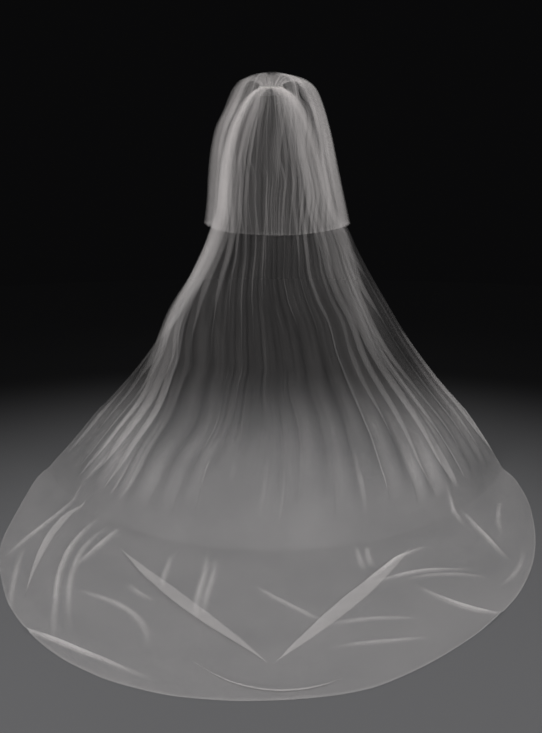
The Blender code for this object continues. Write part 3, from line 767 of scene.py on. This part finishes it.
def make_short_tier():
    """The short tier, pressed flat over the crown and folded more and more below it."""
    part = uneven_rows(1.0, SHORT_ROW_COUNT)
    runs = part * SHORT_MIDDLE_RUN
    across, lengths = arc_lengths(SHORT, runs)
    cloth = fill_rows(fullness(SHORT_FULLNESS, SHORT_STREAKS, {}, runs, across), lengths)
    edges = fold_edges(SHORT_FOLD_COUNT, SHORT_FOLD_SEED)
    opened = smooth_step(runs / CROWN_OPENS_OVER)
    position, distance, closeness = drape(cloth, lengths, runs, edges, SHORT_FOLDS_OUTSIDE * opened,
                                          CROWN_PRESSED + (1.0 - CROWN_PRESSED) * opened, SHORT_DRAPE_SEED)
    place = across_at(position, lengths, across)
    columns = cloth_columns(edges)
    run = part[:, None] * short_end_run(columns)
    normals = outward(SHORT, place, run)
    points = place_on_form(SHORT, place, run) + normals * distance[..., None]
    closer = edge_closeness(columns, run, short_end_run(columns))
    return sheet_mesh("veil_short_tier", points, cover_of(points, normals, closeness * closer), run)


def join_all(pieces, name):
    """Several pieces as one, with its place in its mesh."""
    bpy.ops.object.select_all(action="DESELECT")
    for piece in pieces:
        piece.select_set(True)
    bpy.context.view_layer.objects.active = pieces[0]
    bpy.ops.object.transform_apply(location=True, rotation=True, scale=True)
    bpy.ops.object.join()
    joined = bpy.context.object
    joined.name = name
    joined.data.name = name
    joined.data.shade_smooth()
    return joined


def copy_at(piece, place):
    """A copy of a piece, with its own mesh, at another place."""
    bpy.ops.object.select_all(action="DESELECT")
    piece.select_set(True)
    bpy.context.view_layer.objects.active = piece
    bpy.ops.object.duplicate()
    copy = bpy.context.object
    copy.location = place
    return copy


def make_ribbon():
    """The folded ribbon round both gathered edges, puckered by the gathers inside it."""
    bpy.ops.mesh.primitive_cube_add(size=1.0)
    ribbon = bpy.context.object
    ribbon.name = "gather_ribbon"
    ribbon.data.name = "gather_ribbon"
    ribbon.scale = (RIBBON_LENGTH, RIBBON_DEPTH, RIBBON_HEIGHT)
    bpy.ops.object.transform_apply(location=False, rotation=False, scale=True)
    bpy.ops.object.mode_set(mode="EDIT")
    bpy.ops.mesh.select_mode(type="EDGE")
    shape = bmesh.from_edit_mesh(ribbon.data)
    for edge in shape.edges:
        edge.select = abs(edge.verts[0].co.x - edge.verts[1].co.x) > RIBBON_LENGTH / 2
    bmesh.update_edit_mesh(ribbon.data)
    bpy.ops.mesh.subdivide(number_cuts=RIBBON_CUTS)
    bpy.ops.object.mode_set(mode="OBJECT")
    rounding = ribbon.modifiers.new("Rounding", "BEVEL")
    rounding.width = RIBBON_ROUNDING
    rounding.segments = RIBBON_ROUNDING_STEPS
    rounding.limit_method = "ANGLE"
    bpy.ops.object.modifier_apply(modifier="Rounding")
    wander = Wander(PUCKER_SEED)
    for vertex in ribbon.data.vertices:
        x, y, z = vertex.co
        phase = 2.0 * math.pi * x / PUCKER_WIDTH + 2.0 * float(wander(x * 90.0 + 20.0, z * 150.0 + 5.0))
        pucker = PUCKER_DEPTH * (0.5 + 0.5 * math.sin(phase)) * abs(z) / RIBBON_HEIGHT * 2.0
        vertex.co.y = y - math.copysign(pucker, y)
    ribbon.data.shade_smooth()
    return ribbon


def make_comb_stitches():
    """Loops of thread round the comb's bar and through the ribbon, one between each two teeth."""
    size = (LOOP_HALF_DEPTH + LOOP_HALF_HEIGHT) / 2.0
    bpy.ops.mesh.primitive_torus_add(major_segments=20, minor_segments=6, major_radius=size,
                                     minor_radius=THREAD_RADIUS, rotation=(0.0, math.pi / 2, 0.0))
    bpy.ops.object.transform_apply(location=False, rotation=True, scale=False)
    first = bpy.context.object
    first.scale = (1.0, LOOP_HALF_DEPTH / size, LOOP_HALF_HEIGHT / size)
    bpy.ops.object.transform_apply(location=False, rotation=False, scale=True)
    first.rotation_euler = (0.0, math.radians(LOOP_LEAN), 0.0)
    step = TOOTH_SPREAD / (TOOTH_COUNT - 1)
    low = COMB_BAR_Z - COMB_BAR_HEIGHT / 2 - 2 * THREAD_RADIUS
    places = [(-TOOTH_SPREAD / 2 + step * (gap + 0.5), 0.0, low + LOOP_HALF_HEIGHT)
              for gap in range(TOOTH_COUNT - 1)]
    first.location = places[0]
    return join_all([first] + [copy_at(first, place) for place in places[1:]], "comb_stitches")


def make_ribbon_stitches():
    """Two rows of running stitches along the ribbon, on both of its sides."""
    bpy.ops.mesh.primitive_uv_sphere_add(segments=6, ring_count=5, radius=1.0)
    first = bpy.context.object
    first.scale = (ROW_STITCH_LENGTH / 2, THREAD_RADIUS, THREAD_RADIUS)
    bpy.ops.object.transform_apply(location=False, rotation=False, scale=True)
    count = int(RIBBON_LENGTH * ROW_STITCH_SHARE / ROW_STITCH_STEP)
    places = [((number - (count - 1) / 2) * ROW_STITCH_STEP, side * (RIBBON_DEPTH / 2 - THREAD_RADIUS / 3),
               row * ROW_STITCH_HEIGHT)
              for row in (-1.0, 1.0) for side in (-1.0, 1.0) for number in range(count)]
    first.location = places[0]
    return join_all([first] + [copy_at(first, place) for place in places[1:]], "ribbon_stitches")


def node_maker(material):
    """A short way to add a node with its settings and to link it."""
    nodes = material.node_tree.nodes
    links = material.node_tree.links

    def add(kind, settings=None, **values):
        made = nodes.new("ShaderNode" + kind)
        for name, value in (settings or {}).items():
            setattr(made, name, value)
        for name, value in values.items():
            made.inputs[name.replace("_", " ")].default_value = value
        return made

    return nodes["Principled BSDF"], add, links.new


def new_material(name, colour, roughness):
    """A material with its shader, and the short ways to add and link nodes."""
    made = bpy.data.materials.new(name)
    made.use_nodes = True
    shader, add, link = node_maker(made)
    shader.inputs["Base Color"].default_value = colour
    shader.inputs["Roughness"].default_value = roughness
    return made, shader, add, link


def remap(add, link, source, low, high, to_low, to_high):
    """A value moved from one range to another."""
    made = add("MapRange")
    for name, value in (("From Min", low), ("From Max", high), ("To Min", to_low), ("To Max", to_high)):
        made.inputs[name].default_value = value
    link(source, made.inputs["Value"])
    return made.outputs["Result"]


def combine(add, link, operation, first, second, clamp=False):
    """Two values, or a value and a number, put through one operation."""
    made = add("Math", {"operation": operation, "use_clamp": clamp})
    for socket, value in zip(made.inputs, (first, second)):
        if isinstance(value, float):
            socket.default_value = value
        else:
            link(value, socket)
    return made.outputs["Value"]


def hexagon_net(add, link, cloth):
    """How near each point of the cloth is to a thread of its net of hexagons: 0.5 on a thread."""
    half = (0.5, math.sqrt(3.0) / 2.0, 0.0)
    cells = add("VectorMath", {"operation": "SCALE"})
    cells.inputs["Scale"].default_value = 1.0 / NET_CELL
    link(cloth, cells.inputs[0])
    nearest = []
    for offset in ((0.0, 0.0, 0.0), half):
        moved = add("VectorMath", {"operation": "SUBTRACT"})
        moved.inputs[1].default_value = offset
        link(cells.outputs["Vector"], moved.inputs[0])
        wrapped = add("VectorMath", {"operation": "WRAP"})
        wrapped.inputs[1].default_value = (half[0], half[1], 1.0)
        wrapped.inputs[2].default_value = (-half[0], -half[1], -1.0)
        link(moved.outputs["Vector"], wrapped.inputs[0])
        size = add("VectorMath", {"operation": "ABSOLUTE"})
        link(wrapped.outputs["Vector"], size.inputs[0])
        slanted = add("VectorMath", {"operation": "DOT_PRODUCT"})
        slanted.inputs[1].default_value = half
        link(size.outputs["Vector"], slanted.inputs[0])
        level = add("SeparateXYZ")
        link(size.outputs["Vector"], level.inputs["Vector"])
        nearest.append(combine(add, link, "MAXIMUM", slanted.outputs["Value"], level.outputs["X"]))
    return combine(add, link, "MINIMUM", *nearest)


def tulle():
    """Sheer net: its threads stop the light, and their share of it comes from how the cloth lies."""
    made, shader, add, link = new_material("tulle", TULLE_COLOUR, 0.65)
    shader.inputs["Specular IOR Level"].default_value = 0.2
    shader.inputs["Sheen Weight"].default_value = 0.5
    shader.inputs["Sheen Roughness"].default_value = 0.45
    cloth = add("UVMap").outputs["UV"]
    net = hexagon_net(add, link, cloth)
    thread = remap(add, link, net, 0.40, 0.49, 0.62, 2.6)
    cloud = add("TexNoise", Scale=3.5, Detail=3.0)
    link(cloth, cloud.inputs["Vector"])
    patch = remap(add, link, cloud.outputs["Fac"], 0.3, 0.7, 0.84, 1.16)
    cover = add("Attribute", {"attribute_name": "cover"})
    netted = combine(add, link, "MULTIPLY", cover.outputs["Fac"], thread)
    link(combine(add, link, "MULTIPLY", netted, patch, clamp=True), shader.inputs["Alpha"])
    link(remap(add, link, cloud.outputs["Fac"], 0.3, 0.7, 0.55, 0.75), shader.inputs["Roughness"])
    return made


def ribbon_cloth():
    """Narrow ribbon with fine ribs across it."""
    made, shader, add, link = new_material("ribbon", RIBBON_COLOUR, 0.5)
    shader.inputs["Sheen Weight"].default_value = 0.4
    place = add("TexCoord").outputs["Object"]
    ribs = add("TexWave", {"bands_direction": "X"}, Scale=900.0, Distortion=0.6, Detail=2.0)
    link(place, ribs.inputs["Vector"])
    bump = add("Bump", Strength=0.5, Distance=0.0002)
    link(ribs.outputs["Fac"], bump.inputs["Height"])
    link(bump.outputs["Normal"], shader.inputs["Normal"])
    link(remap(add, link, ribs.outputs["Fac"], 0.0, 1.0, 0.38, 0.62), shader.inputs["Roughness"])
    return made


def sewing_thread():
    """Twisted thread."""
    made, shader, add, link = new_material("sewing_thread", THREAD_COLOUR, 0.55)
    place = add("TexCoord").outputs["Object"]
    twist = add("TexWave", {"bands_direction": "DIAGONAL"}, Scale=1600.0, Distortion=0.2)
    link(place, twist.inputs["Vector"])
    bump = add("Bump", Strength=0.6, Distance=0.0001)
    link(twist.outputs["Fac"], bump.inputs["Height"])
    link(bump.outputs["Normal"], shader.inputs["Normal"])
    return made


def brushed_metal():
    """Plated wire, brushed along its length."""
    made, shader, add, link = new_material("comb_metal", METAL_COLOUR, 0.3)
    shader.inputs["Metallic"].default_value = 1.0
    place = add("TexCoord").outputs["Object"]
    stretched = add("Mapping")
    stretched.inputs["Scale"].default_value = (40.0, 900.0, 900.0)
    link(place, stretched.inputs["Vector"])
    grain = add("TexNoise", Scale=1.0, Detail=4.0)
    link(stretched.outputs["Vector"], grain.inputs["Vector"])
    link(remap(add, link, grain.outputs["Fac"], 0.3, 0.7, 0.22, 0.42), shader.inputs["Roughness"])
    bump = add("Bump", Strength=0.25, Distance=0.00005)
    link(grain.outputs["Fac"], bump.inputs["Height"])
    link(bump.outputs["Normal"], shader.inputs["Normal"])
    return made


def make_camera():
    """The camera at the photograph's eye point."""
    made = bpy.data.cameras.new("camera")
    made.sensor_fit = "VERTICAL"
    made.sensor_height = SENSOR
    made.lens = LENS
    camera = bpy.data.objects.new("camera", made)
    camera.location = EYE
    camera.rotation_euler = (math.radians(90.0 - EYE_PITCH), 0.0, 0.0)
    bpy.context.scene.collection.objects.link(camera)
    bpy.context.scene.camera = camera


def make_light(name, values):
    """A soft round area light, aimed at a point."""
    row = dict(zip(LIGHT_COLUMNS, values))
    made = bpy.data.lights.new(name, "AREA")
    made.shape = "DISK"
    made.size = row["size"]
    made.energy = row["power"]
    made.spread = math.radians(row["spread"])
    light = bpy.data.objects.new(name, made)
    light.location = (row["x"], row["y"], row["z"])
    aim = [row["aim_" + axis] - row[axis] for axis in "xyz"]
    pitch = math.atan2(aim[2], math.hypot(aim[0], aim[1]))
    light.rotation_euler = (math.pi / 2 + pitch, 0.0, math.atan2(aim[1], aim[0]) - math.pi / 2)
    light.visible_camera = False
    bpy.context.scene.collection.objects.link(light)


def make_floor():
    """A plain floor with a painted pool of light round the veil: its colour is painted darker into the dark
    away from it, and there it glows with painted light as faintly as the backdrop.
    """
    bpy.ops.mesh.primitive_circle_add(vertices=96, radius=FLOOR_RADIUS, fill_type="NGON",
                                      location=(0.0, FLOOR_MIDDLE_Y, -CROWN_HEIGHT - FLOOR_DROP))
    floor = bpy.context.object
    floor.name = "studio_floor"
    made, shader, add, link = new_material("pale_floor", FLOOR_COLOUR, 0.9)
    shader.inputs["Specular IOR Level"].default_value = 0.0
    place = add("TexCoord").outputs["Object"]
    length = add("VectorMath", {"operation": "LENGTH"})
    link(place, length.inputs[0])
    fade = add("MapRange", {"interpolation_type": "SMOOTHSTEP"})
    fade.inputs["From Min"].default_value = PAINTED_POOL_RADIUS
    fade.inputs["From Max"].default_value = PAINTED_POOL_RADIUS + PAINTED_POOL_FADE
    link(length.outputs["Value"], fade.inputs["Value"])
    # Painted light: the base colour fades from the floor's own to a painted shade, and the emission rises
    # from none to a painted glow as faint as the backdrop
    for near, far, name in ((FLOOR_COLOUR, FLOOR_PAINTED_SHADE_COLOUR, "Base Color"),
                            (DARK, BACKDROP_COLOUR, "Emission Color")):
        mixed = add("Mix", {"data_type": "RGBA"})
        mixed.inputs["A"].default_value = near
        mixed.inputs["B"].default_value = far
        link(fade.outputs["Result"], mixed.inputs["Factor"])
        link(mixed.outputs["Result"], shader.inputs[name])
    shader.inputs["Emission Strength"].default_value = 1.0
    floor.data.materials.append(made)


def make_backdrop():
    """A dark studio all round."""
    world = bpy.data.worlds.new("studio")
    bpy.context.scene.world = world
    world.use_nodes = True
    world.node_tree.nodes["Background"].inputs["Color"].default_value = BACKDROP_COLOUR


make_camera()
make_floor()
make_backdrop()
for light_name, light_values in LIGHTS.items():
    make_light(light_name, light_values)
fall, train = make_long_tier()
short = make_short_tier()
net = tulle()
for piece, node in ((fall, "long_tier_fall"), (train, "long_tier_train"), (short, "short_tier")):
    piece.data.materials.append(net)
    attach(piece, "root")
    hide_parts(node)
ribbon = make_ribbon()
ribbon.data.materials.append(ribbon_cloth())
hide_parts("gather_band")
thread = sewing_thread()
stitches = (make_comb_stitches(), make_ribbon_stitches())
for sewing in stitches:
    sewing.data.materials.append(thread)
for piece in (ribbon, *stitches):
    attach(piece, "root")
bpy.data.objects["comb"].material_slots[0].material = brushed_metal()
bpy.context.scene.cycles.transparent_max_bounces = 64
bpy.context.scene.view_settings.view_transform = "Standard"
